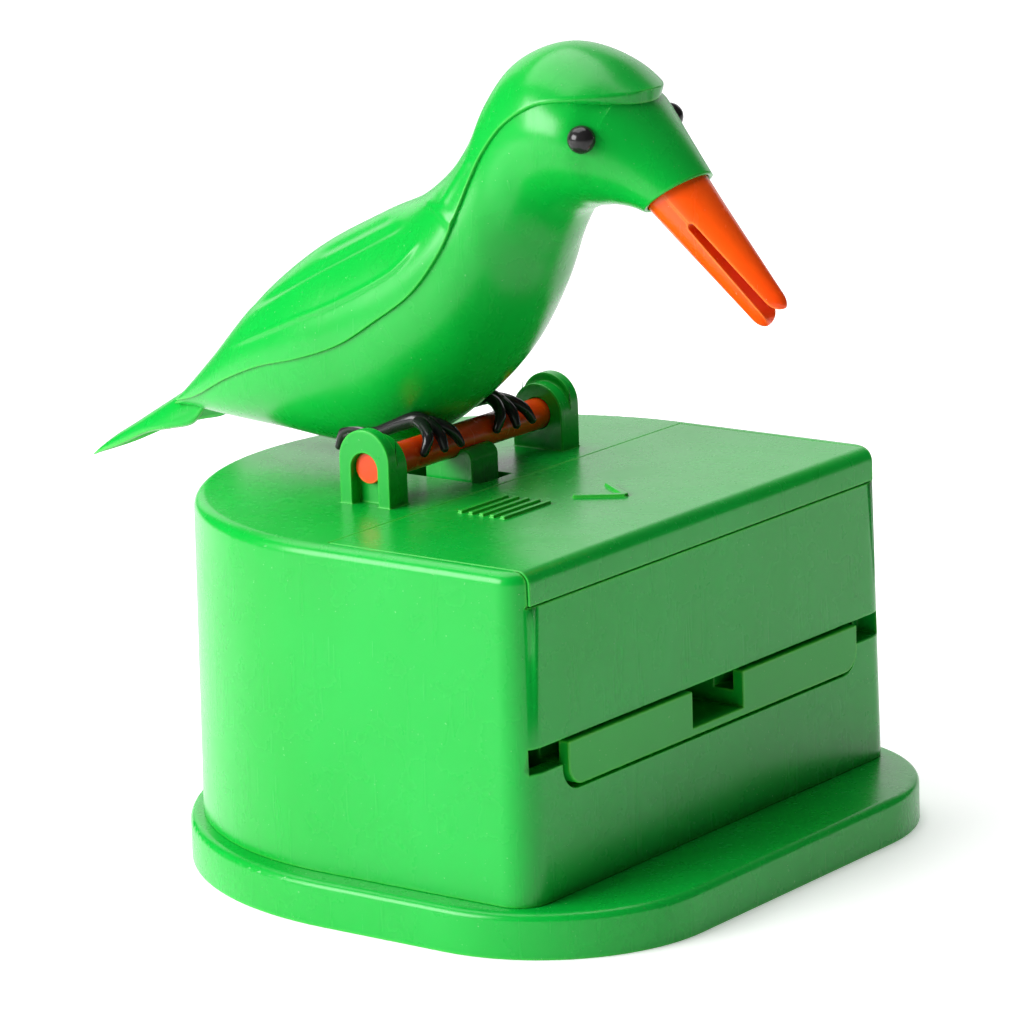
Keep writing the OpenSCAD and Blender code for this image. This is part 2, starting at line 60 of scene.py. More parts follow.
class Val:
    """A number that varies over the surface: a socket whose operators add Math nodes."""

    def __init__(self, finish, socket):
        self.finish, self.socket = finish, socket

    def _sum(self, operation, a, b):
        return self.finish.node("ShaderNodeMath", {"operation": operation}, {0: a, 1: b})

    def __add__(self, other):
        return self._sum("ADD", self, other)

    def __mul__(self, other):
        return self._sum("MULTIPLY", self, other)

    def __rsub__(self, other):
        return self._sum("SUBTRACT", other, self)

    __radd__, __rmul__ = __add__, __mul__


class Finish:
    """One material. node() makes any node from its type, its settings and its inputs."""

    def __init__(self, name):
        self.material = bpy.data.materials.new(name)
        self.material.use_nodes = True
        self.tree = self.material.node_tree
        self.tree.nodes.clear()
        self.place = self.node("ShaderNodeTexCoord", output="Object")

    def node(self, kind, settings=None, inputs=None, output=0):
        made = self.tree.nodes.new(kind)
        for key, value in (settings or {}).items():
            if key == "stops":
                while len(made.color_ramp.elements) < len(value):
                    made.color_ramp.elements.new(0.5)
                for stop, (position, shade) in zip(made.color_ramp.elements, value):
                    stop.position, stop.color = position, shade
            else:
                setattr(made, key, value)
        for key, value in (inputs or {}).items():
            if isinstance(value, Val):
                self.tree.links.new(value.socket, made.inputs[key])
            else:
                made.inputs[key].default_value = value
        return Val(self, made.outputs[output]) if made.outputs else None

    def noise(self, scale, detail=3.0, stretch=(1, 1, 1)):
        """Cloudy noise from 0 to 1, in blotches about 1 / scale metres across."""
        place = self.node("ShaderNodeMapping", None, {"Vector": self.place, "Scale": stretch})
        return self.node("ShaderNodeTexNoise", None,
                         {"Vector": place, "Scale": scale, "Detail": detail, "Roughness": 0.55})

    def band(self, value, low, high):
        """0 below low, 1 above high, and smooth between."""
        return self.node("ShaderNodeMapRange", {"interpolation_type": "SMOOTHSTEP"},
                         {"Value": value, "From Min": low, "From Max": high, "To Min": 0.0, "To Max": 1.0})

    def mix(self, factor, a, b):
        """Colour a where the factor is 0, colour b where it is 1."""
        return self.node("ShaderNodeMix", {"data_type": "RGBA"}, {0: factor, 6: a, 7: b}, output=2)

    def edges(self, radius):
        """1 along outer and inner edges, 0 on open surfaces: how far rounding would turn the surface."""
        soft = self.node("ShaderNodeBevel", {"samples": 4}, {"Radius": radius})
        plain = self.node("ShaderNodeNewGeometry", output="Normal")
        facing = self.node("ShaderNodeVectorMath", {"operation": "DOT_PRODUCT"},
                           {0: soft, 1: plain}, output="Value")
        return self.band(1 - facing, 0.01, 0.16)

    def bump(self, height, depth, under=None):
        inputs = {"Height": height, "Distance": depth, "Strength": 1.0}
        if under is not None:
            inputs["Normal"] = under
        return self.node("ShaderNodeBump", None, inputs)

    def surface(self, **sockets):
        inputs = {key.replace("_", " "): value for key, value in sockets.items()}
        shader = self.node("ShaderNodeBsdfPrincipled", None, inputs)
        self.node("ShaderNodeOutputMaterial", None, {"Surface": shader})
        return self.material


def moulded(name, colour, pale, painted_edge_glow, gloss, speck=0.3, glow=0.06):
    """Injection-moulded plastic: pigment that drifts a little, faint flow lines, fine orange peel, dust
    specks, hairline scuffs in the gloss, and a painted glow: edges painted paler for light passing through
    them."""
    f = Finish(name)
    drift = f.noise(28, 2.0)
    flow = f.noise(70, 3.0, (1, 1, 0.22))
    tint = f.mix(f.band(drift * 0.6 + flow * 0.4, 0.32, 0.7), colour, pale)
    edge = f.edges(0.55 * MM)
    # painted light: edges are painted paler towards the edge colour, a painted glow and highlight for light
    # passing through the rims
    tint = f.mix(edge * 0.55, tint, painted_edge_glow)
    dust = f.band(f.noise(2600, 1.0), 0.755, 0.80)
    tint = f.mix(dust * speck, tint, [min(1, c * 0.55 + 0.36) for c in painted_edge_glow[:3]] + [1])
    scuff = f.band(f.noise(900, 2.0, (1, 1, 0.06)), 0.60, 0.72)
    haze = f.noise(160, 4.0)
    rough = gloss + haze * 0.10 + scuff * 0.04 + dust * 0.2 + edge * 0.06
    peel = f.bump(f.noise(620, 2.0), 0.010 * MM)
    waves = f.bump(f.noise(55, 1.0), 0.07 * MM, peel)
    marks = f.bump(dust + scuff * 0.10, 0.010 * MM, waves)
    return f.surface(Base_Color=tint, Roughness=rough, Normal=marks, IOR=1.5,
                     Subsurface_Weight=glow, Subsurface_Radius=(0.4, 1.0, 0.5),
                     Subsurface_Scale=1.2 * MM, Specular_IOR_Level=0.34)


green = moulded("green_plastic", (0.001, 0.35, 0.028, 1), (0.002, 0.40, 0.040, 1),
                (0.10, 0.64, 0.06, 1), 0.22)


def put(piece, body, material):
    """Finishes a piece: its material and the body it rides on."""
    piece.data.materials.clear()
    piece.data.materials.append(material)
    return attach(piece, body)


SAME_POINT = 0.0015 * MM
FLAT = math.radians(0.05)
SHARP = math.radians(50)


def eased(name, node, body, material, radius):
    """A CAD node's own shape with its sharp edges broken, as every moulded part has them: its triangles
    are joined, flat ones are merged, and sharp edges get a small round."""
    piece = bpy.data.objects.new(name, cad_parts[node].data.copy())
    bpy.context.scene.collection.objects.link(piece)
    if "custom_normal" in piece.data.attributes:
        piece.data.attributes.remove(piece.data.attributes["custom_normal"])
    mesh = bmesh.new()
    mesh.from_mesh(piece.data)
    bmesh.ops.remove_doubles(mesh, verts=mesh.verts, dist=SAME_POINT)
    bmesh.ops.dissolve_limit(mesh, angle_limit=FLAT, verts=mesh.verts, edges=mesh.edges)
    mesh.to_mesh(piece.data)
    mesh.free()
    piece.data.shade_smooth()
    bevel = piece.modifiers.new("round", "BEVEL")
    bevel.width, bevel.segments = radius, 3
    bevel.limit_method, bevel.angle_limit = "ANGLE", SHARP
    bevel.use_clamp_overlap, bevel.harden_normals = False, True
    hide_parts(node)
    return put(piece, body, material)


eased("base_foot", "base_plate", "box", green, 0.15 * MM)

# ---------------------------------------------------------------- box
# The toothpick box: one deep D-shaped moulding whose walls lean in a little, with the two perch posts
# moulded on its deck. Its front wall has the long slot and the pocket for the tray.

eased("box_body", "box_housing", "box", green, 0.14 * MM)

# ---------------------------------------------------------------- lid
# The refill lid: a flat green moulding that drops between the box's two cheeks, with a lip that turns
# down over the front edge. Plain grip ribs and an arrow stand on it.

eased("lid_panel", "front_lid", "box", green, 0.12 * MM)

# ---------------------------------------------------------------- tray
# The sliding tray: a green moulding that stands a little proud of the front wall, with a notch that
# the beak reaches into and a trough behind its front plate for one toothpick.

tray_green = moulded("tray_plastic", (0.002, 0.34, 0.020, 1), (0.005, 0.40, 0.028, 1),
                     (0.18, 0.66, 0.04, 1), 0.26)
eased("tray_slide", "toothpick_tray", "tray", tray_green, 0.16 * MM)

# ---------------------------------------------------------------- works inside the box
# The hopper and the rocker lever are plain green mouldings; the pins, screws and spring are
# zinc-plated steel. The spring is wound from wire and hooks the tray's tail to the base.


def plated(name):
    """Zinc plate: bluish grey metal with cloudy crystals, fine drawing lines and a dull film."""
    f = Finish(name)
    cloud = f.noise(420, 3.0)
    lines = f.noise(1500, 2.0, (1, 0.05, 1))
    tint = f.mix(cloud, (0.46, 0.47, 0.50, 1), (0.72, 0.73, 0.74, 1))
    return f.surface(Base_Color=tint, Metallic=1.0, Roughness=0.24 + cloud * 0.16 + lines * 0.1,
                     Normal=f.bump(lines, 0.006 * MM))


steel = plated("zinc_plate")
inner_green = moulded("inner_green_plastic", (0.004, 0.36, 0.045, 1), (0.010, 0.44, 0.055, 1),
                      (0.10, 0.62, 0.08, 1), 0.32)
for node, material in [("toothpick_hopper", inner_green), ("rocker_lever", inner_green),
                       ("rocker_pin", steel), ("tray_pin", steel), ("crank_pin", steel),
                       ("crank_screw", steel), ("base_screws", steel)]:
    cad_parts[node].data.materials.clear()
    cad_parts[node].data.materials.append(material)


def skin(name, grid, close_v=False, caps=False):
    """A mesh from a grid of points: grid[u, v] joins its neighbours in four-sided faces. close_v joins
    the last column to the first, and caps closes the first and last rows with one face each."""
    rows, columns = grid.shape[:2]
    index = np.arange(rows * columns).reshape(rows, columns)
    if close_v:
        index = np.concatenate([index, index[:, :1]], axis=1)
    quads = np.stack([index[:-1, :-1], index[:-1, 1:], index[1:, 1:], index[1:, :-1]], axis=-1)
    faces = quads.reshape(-1, 4).tolist()
    if caps:
        faces += [index[0, :columns][::-1].tolist(), index[-1, :columns].tolist()]
    mesh = bpy.data.meshes.new(name)
    mesh.from_pydata(grid.reshape(-1, 3).tolist(), [], faces)
    mesh.shade_smooth()
    piece = bpy.data.objects.new(name, mesh)
    bpy.context.scene.collection.objects.link(piece)
    return piece


def tidied(piece, gap=0.004 * MM):
    """Joins points that meet at a pole or seam, and turns every face outwards."""
    mesh = bmesh.new()
    mesh.from_mesh(piece.data)
    bmesh.ops.remove_doubles(mesh, verts=mesh.verts, dist=gap)
    bmesh.ops.recalc_face_normals(mesh, faces=mesh.faces)
    mesh.to_mesh(piece.data)
    mesh.free()
    return piece


def along(path, radius, sides):
    """A round rod: at each point of the path a circle stands square to the path's direction. A frame
    that turns as little as possible is carried from point to point. radius may vary along the path."""
    path = np.asarray(path, float)
    radius = np.broadcast_to(np.asarray(radius, float), (len(path),))
    run = np.gradient(path, axis=0)
    run /= np.linalg.norm(run, axis=1)[:, None]
    side = np.cross(run[0], (0.03, 0.05, 1.0))
    across = np.empty_like(path)
    for i, direction in enumerate(run):
        side = side - direction * (side @ direction)
        side /= np.linalg.norm(side)
        across[i] = side
    up = np.cross(run, across)
    turn = np.linspace(0, 2 * math.pi, sides, endpoint=False)
    ring = np.cos(turn)[:, None] * across[:, None] + np.sin(turn)[:, None] * up[:, None]
    return path[:, None] + ring * radius[:, None, None]


wire = 0.25 * MM
spring_low, spring_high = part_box("return_spring")
spring_middle = (spring_low + spring_high) / 2
coil_r = (spring_high.z - spring_low.z) / 2 - wire
hook = 3.4 * MM
turns = 11
turn = np.linspace(0, 2 * math.pi * turns, turns * 20 + 1)
coil = np.stack([np.linspace(spring_low.x + hook, spring_high.x - 1.6 * MM, len(turn)),
                 coil_r * np.sin(turn), spring_middle.z + coil_r * np.cos(turn)], axis=-1)
ends = [np.array([[spring_low.x + wire, 0, spring_middle.z], [coil[0, 0] - 1.2 * MM, 0, spring_middle.z]]),
        np.array([[coil[-1, 0] + 1.0 * MM, 0, spring_middle.z], [spring_high.x - wire, 0, spring_middle.z]])]
spring = tidied(skin("return_spring_wire", along(np.concatenate([ends[0], coil, ends[1]]), wire, 10),
                     close_v=True, caps=True))
spring.data.materials.append(steel)
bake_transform(spring)
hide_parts("return_spring")

# ---------------------------------------------------------------- perch
# The bird's perch: an orange rod that turns in the two posts, and the green crank block that is
# screwed to its middle and hangs through the deck.

orange = moulded("orange_plastic", (0.83, 0.055, 0.002, 1), (0.93, 0.11, 0.004, 1),
                 (1.0, 0.32, 0.03, 1), 0.20, glow=0.12)
eased("perch_rod", "perch_bar", "bird", orange, 0.16 * MM)
eased("crank_block", "crank_arm", "bird", green, 0.16 * MM)

# ---------------------------------------------------------------- bird's two shells
# The bird is two thin green mouldings snapped together. The back shell runs from the brow over the
# crown and the wings to the tail, and stands half a millimetre proud of the breast shell.

# upper x, z, lower x, z and half width of rings from the tail to the collar
STATIONS = np.array([
    [-48.0, 48.9, -47.8, 47.5, 4.0], [-41.0, 55.7, -39.3, 47.0, 7.5], [-34.0, 63.0, -30.0, 46.4, 10.0],
    [-25.5, 69.4, -22.0, 45.8, 11.5], [-16.0, 74.2, -13.4, 46.8, 12.0], [-9.6, 77.0, -6.6, 50.8, 12.0],
    [-4.2, 81.2, 0.0, 56.8, 11.5], [-1.0, 85.5, 4.8, 63.9, 10.5], [1.2, 90.0, 7.8, 70.5, 9.8],
    [4.6, 93.6, 10.4, 75.0, 10.0], [9.8, 95.4, 13.6, 76.8, 10.4], [15.2, 94.2, 16.2, 77.3, 9.8],
    [19.2, 91.0, 17.8, 77.4, 8.2], [23.8, 86.2, 19.6, 77.2, 6.2], [27.9, 81.6, 21.1, 76.8, 4.8]]) * MM
PARTING = np.array([
    [26, 90.4], [18, 90.9], [13, 90.4], [10, 89.2], [6.8, 86.9], [4, 83.8], [2.3, 80.7], [0.8, 77],
    [-1.2, 72.2], [-5, 67.2], [-10.5, 63.3], [-16, 60], [-22.5, 57.7], [-29, 56], [-35.5, 53.5],
    [-43, 50], [-50, 48.2]]) * MM


def flowing(rows, per):
    """A smooth curve through the rows: between two rows each value follows the cubic that also heads
    for the rows before and after them."""
    padded = np.concatenate([rows[:1], rows, rows[-1:]])
    t = (np.arange(per) / per)[None, :, None]
    a, b, c, d = (padded[i:i + len(rows) - 1, None] for i in range(4))
    curve = 0.5 * (2 * b + (c - a) * t + (2 * a - 5 * b + 4 * c - d) * t**2
                   + (3 * b - a - 3 * c + d) * t**3)
    return np.concatenate([curve.reshape(-1, rows.shape[1]), rows[-1:]])


def normals_of(grid):
    """The direction square to a grid of points, from the two ways that the grid runs."""
    n = np.cross(np.gradient(grid, axis=1), np.gradient(grid, axis=0))
    return n / np.maximum(np.linalg.norm(n, axis=-1, keepdims=True), 1e-12)


PER = 200
outline = flowing(STATIONS, PER)
seam = flowing(PARTING, 10)


def rings_at(s):
    """The bird's rings at the station numbers s: middle point, reach from it to the top, half width."""
    rows = np.stack([np.interp(s * PER, np.arange(len(outline)), outline[:, i]) for i in range(5)], axis=-1)
    return (rows[:, 0:2] + rows[:, 2:4]) / 2, (rows[:, 0:2] - rows[:, 2:4]) / 2, rows[:, 4]


def seam_height(s):
    """How high each ring meets the seam, from -1 at its lowest point to 1 at its top: the side of the
    ring's line that the seam's points lie on changes sign there."""
    middle, reach, _ = rings_at(s)
    side = (seam[None, :, 0] - middle[:, None, 0]) * reach[:, None, 1] \
        - (seam[None, :, 1] - middle[:, None, 1]) * reach[:, None, 0]
    change = np.argmax(side[:, :-1] * side[:, 1:] <= 0, axis=1)
    row = np.arange(len(s))
    share = side[row, change] / (side[row, change] - side[row, change + 1] + 1e-15)
    meet = seam[change] + (seam[change + 1] - seam[change]) * share[:, None]
    return np.sum((meet - middle) * reach, axis=1) / np.sum(reach**2, axis=1)


# the seam leaves the skin at the brow, between the rings 11 and 13, where it climbs over a ring's top
brow_range = np.linspace(11, 13, 400)
brow = brow_range[np.argmax(seam_height(brow_range) >= 1)]
head = 10.5
s_back = np.concatenate([np.linspace(0, head, 162)[:-1],
                         brow - (brow - head) * (1 - np.sin(np.linspace(0, math.pi / 2, 30)))])
s_front = np.linspace(brow, len(STATIONS) - 1, 24)[1:]


def joined(name, parts):
    """Several meshes as one piece, with the points that meet merged."""
    mesh = bmesh.new()
    for part in parts:
        mesh.from_mesh(part.data)
        bpy.data.objects.remove(part)
    data = bpy.data.meshes.new(name)
    mesh.to_mesh(data)
    mesh.free()
    data.shade_smooth()
    piece = bpy.data.objects.new(name, data)
    bpy.context.scene.collection.objects.link(piece)
    return tidied(piece)


def shell(name, s, first, last, columns, thickness, dip=0.0, shape=None, roll=0.18 * MM, whole=None):
    """A thin shell with its wall. Each row is one closed line: out along the ring from the angle first
    to the angle last, round the rim, back along a ring that is drawn in by the wall, and round the
    other rim. dip lowers the outer skin, shape changes the outer skin's points before the inner skin
    is set under them, and roll is how far the rim bulges. From the row number whole on, the rings are
    closed, with one skin outside and one inside."""
    middle, reach, width = rings_at(s)
    size = np.linalg.norm(reach, axis=1)
    turn = first[:, None] + (last - first)[:, None] * np.linspace(0, 1, columns)[None, :]

    def ring(inset):
        share = 1 - inset / size[:, None]
        x, z = (middle[:, None, i] + reach[:, None, i] * np.cos(turn) * share for i in (0, 1))
        return np.stack([x, -(width[:, None] - inset) * np.sin(turn), z], axis=-1)

    outer = ring(dip)
    moved = shape(outer) if shape else outer * 0
    inner = ring(dip + thickness[:, None]) + moved
    outer = outer + moved
    round_rim = np.linspace(0, math.pi, 13)[1:-1]
    open_by = np.linalg.norm(outer[:, 0] - outer[:, -1], axis=-1)

    def rim(top, under, beyond):
        out_way = top - beyond
        out_way /= np.maximum(np.linalg.norm(out_way, axis=-1, keepdims=True), 1e-9)
        bulge = np.minimum(roll, open_by * 0.2)[:, None, None]
        half = (top - under)[:, None] / 2
        lift = np.sign(np.cos(round_rim)) * np.abs(np.cos(round_rim))**0.6
        return ((top + under) / 2)[:, None] + half * lift[None, :, None] \
            + out_way[:, None] * bulge * (np.sin(round_rim)**0.6)[None, :, None]

    rows = np.concatenate([outer, rim(outer[:, -1], inner[:, -1], outer[:, -2]), inner[:, ::-1],
                           rim(outer[:, 0], inner[:, 0], outer[:, 1])[:, ::-1]], axis=1)
    if whole is None:
        return tidied(skin(name, rows, close_v=True, caps=True))
    collar_edge = np.stack([outer[-1, :-1], inner[-1, :-1]])
    parts = [skin("open_part", rows[:whole + 1], close_v=True)]
    parts += [skin("ring_part", grid, close_v=True)
              for grid in (outer[whole:, :-1], inner[whole:, :-1], collar_edge)]
    return joined(name, parts)


def seam_turn(s):
    return np.arccos(np.clip(seam_height(s), -1, 1))


# the breast shell lies half a millimetre lower next to the seam, and its wall thins at the collar
step = 0.45 * MM
step_reach = 5 * MM
s_breast = np.concatenate([s_back, s_front])
edge_turn = np.where(s_breast < brow, seam_turn(s_breast), 0)
columns = 121
share = np.linspace(0, 1, columns)[None, :]
span = (2 * math.pi - 2 * edge_turn) * rings_at(s_breast)[2]
from_seam = np.minimum(share, 1 - share) * span[:, None]
before_brow = (0.5 - 0.5 * np.tanh((s_breast - brow) / 0.35))[:, None]
dip = step * np.exp(-(from_seam / step_reach)**2) * before_brow
wall = np.interp(s_breast, [0, 1, 12.8, 14], [0.6 * MM, 1.2 * MM, 1.2 * MM, 0.45 * MM])
breast = shell("bird_breast", s_breast, edge_turn, 2 * math.pi - edge_turn, columns, wall, dip,
               whole=len(s_back) - 1)
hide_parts("bird_breast_shell")
put(breast, "bird", green)


def away(points, line):
    """Distance of points from a broken line, and how far along it they lie (0 to 1), in side view."""
    best = np.full(points.shape[:-1], 1e9)
    place = np.zeros(points.shape[:-1])
    for i, (a, b) in enumerate(zip(line[:-1], line[1:])):
        t = np.clip(((points - a) @ (b - a)) / ((b - a) @ (b - a)), 0, 1)
        d = np.linalg.norm(points - (a + t[..., None] * (b - a)), axis=-1)
        place = np.where(d < best, (i + t) / (len(line) - 1), place)
        best = np.minimum(best, d)
    return best, place


FEATHER_LINES = [  # points, height and half width of each line, in millimetres
    ([[-12.5, 74.2], [-23.7, 68.7]], -0.22, 0.42),
    ([[-10.7, 73.6], [-17, 70.4], [-25, 66.4], [-34.6, 61.2]], -0.22, 0.42),
    ([[-8.7, 71.8], [-13.1, 67.7], [-21.5, 63.3], [-28.8, 60.3], [-38.1, 56.3]], 0.20, 0.32),
    ([[-7.5, 76.6], [-2.8, 73.3]], 0.24, 0.50),
    ([[-1.1, 81.8], [-5.5, 75.9]], 0.24, 0.50)]


def feathers_and_brow(skin_points):
    """How far the back's points move: raised and sunk feather lines, and at the brow a lip that stands
    forward over the forehead. The lines are drawn in side view where the skin is 5 mm from the middle;
    further out they lie forward and up, so each point is first carried back to that distance."""
    slide = (np.abs(skin_points[..., 1]) / MM - 5)[..., None] / 5 * np.array([3.9, 1.1]) * MM
    side_view = skin_points[..., [0, 2]] - slide
    relief = np.zeros(side_view.shape[:-1])
    for line, rise, half in FEATHER_LINES:
        gap, place = away(side_view, flowing(np.array(line) * MM, 6))
        fade = np.clip(np.minimum(place, 1 - place) * 8, 0, 1)
        relief += rise * MM * np.exp(-(gap / (half * MM))**2) * fade
    lip = np.clip((s_back - 10.2) / (brow - 10.2), 0, 1)**1.5
    return normals_of(skin_points) * relief[..., None] \
        + (lip[:, None] * np.array([1.7, 0, -0.1]) * MM)[:, None]


back_turn = seam_turn(s_back)
back_turn[-1] = 0
back_wall = np.interp(s_back, [0, 1, 14], [0.6 * MM, 1.5 * MM, 1.5 * MM])
brow_roll = (0.18 + 0.45 * np.clip((s_back - 9) / 2, 0, 1)) * MM
back = shell("bird_back", s_back, -back_turn, back_turn, 201, back_wall, shape=feathers_and_brow,
             roll=brow_roll)
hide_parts("bird_back_shell")
put(back, "bird", green)

# ---------------------------------------------------------------- tail
# The tail is a thin arched blade, moulded in one piece with the back shell: its middle line is high,
# its two edges hang lower, and it narrows to a tip.

TAIL_RIDGE = np.array([[-42.0, 51.6], [-46.6, 50.3], [-51.3, 47.6], [-56.8, 44.3], [-60.1, 42.4],
                       [-62.8, 40.6], [-64.3, 39.4]]) * MM
TAIL_EDGE = np.array([[-43.6, 48.3], [-45.6, 46.0], [-49.1, 45.0], [-53.0, 44.0], [-58.4, 41.7],
                      [-62.5, 40.1], [-64.3, 39.4]]) * MM
TAIL_HALF_W = np.array([[3.4], [3.5], [3.4], [3.0], [2.1], [1.0], [0.3]]) * MM
ridge, low_edge, tail_w = (flowing(rows, 10) for rows in (TAIL_RIDGE, TAIL_EDGE, TAIL_HALF_W))
across = np.linspace(-math.pi / 2, math.pi / 2, 33)[None, :]
hang = 1 - np.cos(across)
arch = [ridge[:, None, i] + (low_edge - ridge)[:, None, i] * hang for i in (0, 1)]
blade = np.stack([arch[0], tail_w * np.sin(across), arch[1]], axis=-1)
# the blade is thickest in the middle, and thins to its edges and to its tip
tip_fade = np.clip(np.linspace(3, 0.2, len(ridge)), 0, 1)[:, None]
blade_t = 0.9 * MM * tip_fade * (0.35 + 0.65 * np.cos(across))
middle = blade.mean(axis=1, keepdims=True)
under_side = blade + (middle - blade) * np.array([0.12, 0.12, 0.0])
under_side[..., 2] -= blade_t
tail = tidied(skin("bird_tail", np.concatenate([blade, under_side[:, ::-1]], axis=1),
                   close_v=True, caps=True))
put(tail, "bird", green)

# ---------------------------------------------------------------- eyes
# Two glossy black beads on pegs, pushed into the head.

black = moulded("black_plastic", (0.010, 0.010, 0.011, 1), (0.022, 0.020, 0.020, 1),
                (0.10, 0.095, 0.09, 1), 0.13, speck=0.3, glow=0.0)


def bead(name, node):
    """An eye: a ball, from pole to pole in rows of circles."""
    low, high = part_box(node)
    side = 1 if high.y > 0 else -1
    r = (high.x - low.x) / 2
    centre = np.array([(low.x + high.x) / 2, (high.y if side > 0 else low.y) - side * r, (low.z + high.z) / 2])
    lat = np.linspace(0.001, math.pi - 0.001, 33)[:, None]
    lon = np.linspace(0, 2 * math.pi, 48, endpoint=False)[None, :]
    ball = np.stack([np.sin(lat) * np.cos(lon), np.cos(lat) + 0 * lon, np.sin(lat) * np.sin(lon)], axis=-1)
    piece = tidied(skin(name, centre + ball * r, close_v=True, caps=True))
    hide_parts(node)
    put(piece, "bird", black)


bead("eye_bead_left", "eye_left")
bead("eye_bead_right", "eye_right")

# ---------------------------------------------------------------- beak
# The orange beak: a tapered round moulding split into two jaws by one long slot, whose root is
# pushed into the bird's collar.

collar = np.array([24.5, 79.2]) * MM
slope = math.radians(45)
out = np.array([math.cos(slope), 0, -math.sin(slope)])
rise = np.array([math.sin(slope), 0, math.cos(slope)])
slot_start = 4.4 * MM
collar_lean = 0.176  # slope of the collar's tilt against the beak, about ten degrees
lean_ends = 4 * MM
root = np.array([collar[0], 0, collar[1]])
half_points = 40  # points along each side of a jaw's outline


def jaw_outline(height, breadth, low):
    """One closed outline across a jaw, in height and breadth: an oval cut off flat below the level
    low. It runs up one side and down the other, then back along the flat."""
    turn = np.linspace(math.acos(np.clip(low / height, -1, 1)), 0, half_points)
    one = np.stack([height * np.cos(turn), breadth * np.sin(turn)], axis=-1)
    flat = np.linspace(-1, 1, half_points // 2 + 2)[1:-1, None] * (0, one[0, 1]) + (one[0, 0], 0)
    return np.concatenate([one, (one * (1, -1))[-2::-1], flat])


def jaw(side, length, tip_h):
    """One half of the beak as rows of outlines from inside the collar to a round tip. Behind the slot
    the halves meet; the slot starts round and widens to the tips. The rows near the root lean with
    the collar, and near the tip each outline shrinks about its own middle as a circle's chord does."""
    rows = []
    near_tip, slot_round, tip_r = 13 * MM, 0.6 * MM, 1.6 * MM
    root_h, root_w, tip_w = 3.72 * MM, 3.75 * MM, 1.35 * MM
    places = np.concatenate([np.linspace(-2 * MM, slot_start, 14),
                             slot_start + slot_round * (1 - np.cos(np.linspace(0, math.pi / 2, 9)))[1:],
                             np.linspace(slot_start + 0.9 * MM, near_tip, 16),
                             near_tip + (length - near_tip) * np.sin(np.linspace(0, math.pi / 2, 26))[1:]])
    for t in places:
        share = max(t, 0) / length
        height = root_h + (tip_h - root_h) * share
        breadth = root_w + (tip_w - root_w) * share
        centre_line = (0.55 - 0.3 * share) * MM
        into_slot = np.clip((t - slot_start) / slot_round, 0, 1)
        opening = (0.34 + 0.34 * share) * MM * math.sqrt(into_slot * (2 - into_slot))
        loop = jaw_outline(height, breadth, side * centre_line + opening)
        lean = collar_lean * np.clip(1 - t / lean_ends, 0, 1)
        where = t + side * loop[:, :1] * lean
        row = root + where * out + side * loop[:, :1] * rise + loop[:, 1:] * np.array([0, 1, 0])
        shrink = math.sqrt(max(0, 1 - (max(0, t - length + tip_r) / tip_r)**2))
        middle = row.mean(axis=0)
        rows.append(middle + (row - middle) * max(shrink, 0.02))
    return np.array(rows)


for name, side, length, tip_h in [("beak_upper", 1, 18.4 * MM, 2.3 * MM),
                                  ("beak_lower", -1, 18.3 * MM, 2.5 * MM)]:
    half = tidied(skin(name, jaw(side, length, tip_h), close_v=True, caps=True))
    ease = half.modifiers.new("round", "BEVEL")
    ease.width, ease.segments = 0.22 * MM, 3
    ease.limit_method, ease.angle_limit = "ANGLE", math.radians(60)
    put(half, "bird", orange)
    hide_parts("beak")

# ---------------------------------------------------------------- feet
# Each foot is one black moulding glued to the belly: a leg that lies along it, a hind claw, and toes
# that bend over the front of the perch rod.

bar_low, bar_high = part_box("perch_bar")
rod = np.array([(bar_low.x + bar_high.x) / 2, 0, (bar_low.z + bar_high.z) / 2]) / MM


def limb(points, radii):
    """A leg or toe: a smooth path through a few points, with a radius that swells and thins along it
    and closes to a round end at both ends."""
    rows = flowing(np.concatenate([points, np.array(radii)[:, None]], axis=1), 10)
    path, r = rows[:, :3], rows[:, 3]
    cap = 1 - np.sin(np.linspace(0, math.pi / 2, 8))
    first = path[0] - (path[1] - path[0]) / np.linalg.norm(path[1] - path[0]) * (r[0] * (1 - cap))[::-1, None]
    last = path[-1] + (path[-1] - path[-2]) / np.linalg.norm(path[-1] - path[-2]) * (r[-1] * (1 - cap))[:, None]
    r_first = r[0] * np.sqrt(np.clip(1 - (1 - cap)**2, 0.0004, 1))[::-1]
    r_last = r[-1] * np.sqrt(np.clip(1 - (1 - cap)**2, 0.0004, 1))
    path = np.concatenate([first[:-1], path, last[1:]]) * MM
    return along(path, np.concatenate([r_first[:-1], r, r_last[1:]]) * MM, 20)


def foot(name, node, side):
    """All the limbs of one foot, as offsets in millimetres from the perch rod's middle line."""
    y = side * 7.0
    limbs = [
        ([[-11.5, y, 0.6], [-7.5, y, 1.2], [-4.0, y, 2.6], [-1.2, y, 3.5], [0.6, y, 3.2]],
         [0.65, 0.8, 0.9, 0.95, 0.8]),
        ([[-7.6, y, 1.1], [-9.6, y, 1.6], [-11.6, y, 1.0], [-12.7, y, -0.9]], [0.7, 0.85, 0.75, 0.5])]
    for spread, reach in ((-1, 0.8), (0, 1.0), (1, 1.0)):
        limbs.append(([[-0.6, y + 0.3 * spread, 3.4], [1.0, y + 1.2 * spread, 3.0],
                       [2.3, y + 2.3 * spread, 2.0], [2.9 * reach, y + 3.1 * spread, 0.5]],
                      [0.75, 0.72, 0.66, 0.5]))
    parts = [tidied(skin(f"{name}_{i}", limb(np.array(points) + rod, radii), close_v=True, caps=True))
             for i, (points, radii) in enumerate(limbs)]
    whole = joined(name, parts)
    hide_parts(node)
    put(whole, "bird", black)


foot("foot_gripping_left", "foot_left", 1)
foot("foot_gripping_right", "foot_right", -1)

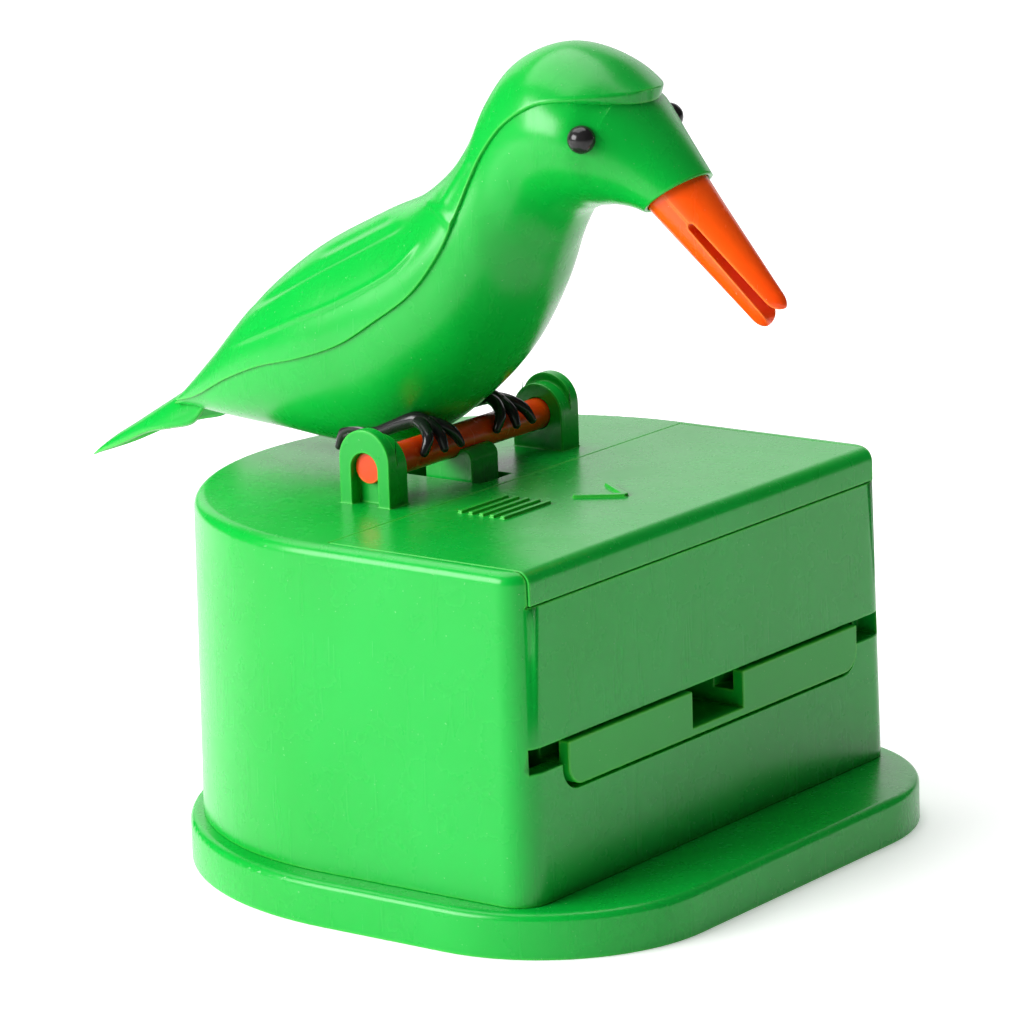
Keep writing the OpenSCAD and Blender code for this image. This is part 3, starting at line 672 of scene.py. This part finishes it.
# ---------------------------------------------------------------- studio
# A seamless white table lit from within, a large soft light to the left, a weaker one above and a wide
# white screen behind; the right-hand side stays dim.

floor_size = 6.0
floor_points = np.array([[x, y, 0.0] for x in (-floor_size, floor_size) for y in (-floor_size, floor_size)])
floor = skin("studio_floor", floor_points.reshape(2, 2, 3)[:, ::-1])
f = Finish("studio_white")
cloud = f.noise(3.0, 2.0)
floor.data.materials.append(f.surface(
    Base_Color=f.mix(cloud, (0.90, 0.90, 0.90, 1), (0.94, 0.94, 0.94, 1)), Roughness=0.6 + cloud * 0.1,
    Emission_Color=(1, 1, 1, 1), Emission_Strength=0.30))

world = bpy.data.worlds.new("room")
world.use_nodes = True
world.node_tree.nodes["Background"].inputs["Color"].default_value = (1, 1, 1, 1)
world.node_tree.nodes["Background"].inputs["Strength"].default_value = 0.05
bpy.context.scene.world = world
bpy.context.scene.view_settings.view_transform = "Standard"


def softbox(name, place, aim, size, power):
    """A square studio light at place, turned towards aim."""
    lamp = bpy.data.lights.new(name, "AREA")
    lamp.shape, lamp.size, lamp.size_y, lamp.energy = "RECTANGLE", size[0], size[1], power
    light = bpy.data.objects.new(name, lamp)
    bpy.context.scene.collection.objects.link(light)
    light.location = place
    light.rotation_mode = "QUATERNION"
    light.rotation_quaternion = (Vector(aim) - Vector(place)).to_track_quat("-Z", "Y")
    return light


softbox("key_left", (-0.45, -0.75, 0.42), (0, 0, 0.04), (0.7, 0.5), 14)
softbox("top", (-0.25, 0.10, 0.85), (0, 0, 0.0), (0.9, 0.9), 8.5)
softbox("screen_behind", (-0.75, 1.15, 0.5), (0, 0, 0.02), (1.8, 0.8), 5)

# The camera stands to the right of the bird's front, a little above the deck.
turn_right, above, tilt = math.radians(36.842), math.radians(13.477), math.radians(-1.849)
distance = 0.64205
target = np.array([0.001, 0, 0.040])
back_way = np.array([math.sin(turn_right) * math.cos(above), -math.cos(turn_right) * math.cos(above),
                     math.sin(above)])
level = np.cross(-back_way, (0, 0, 1))
level /= np.linalg.norm(level)
upright = np.cross(level, -back_way)
right = math.cos(tilt) * level + math.sin(tilt) * upright
top = -math.sin(tilt) * level + math.cos(tilt) * upright
lens = bpy.data.cameras.new("camera")
camera = bpy.data.objects.new("camera", lens)
bpy.context.scene.collection.objects.link(camera)
lens.sensor_width, lens.lens = 36.0, 36.0 * 5517.56 / 1020
lens.shift_x, lens.shift_y = -10.985 / 1020, -1.537 / 1020
lens.clip_start, lens.clip_end = 0.01, 50
eye = target + back_way * distance
camera.matrix_world = Matrix([[right[i], top[i], back_way[i], eye[i]] for i in range(3)] + [[0, 0, 0, 1]])
bpy.context.scene.camera = camera
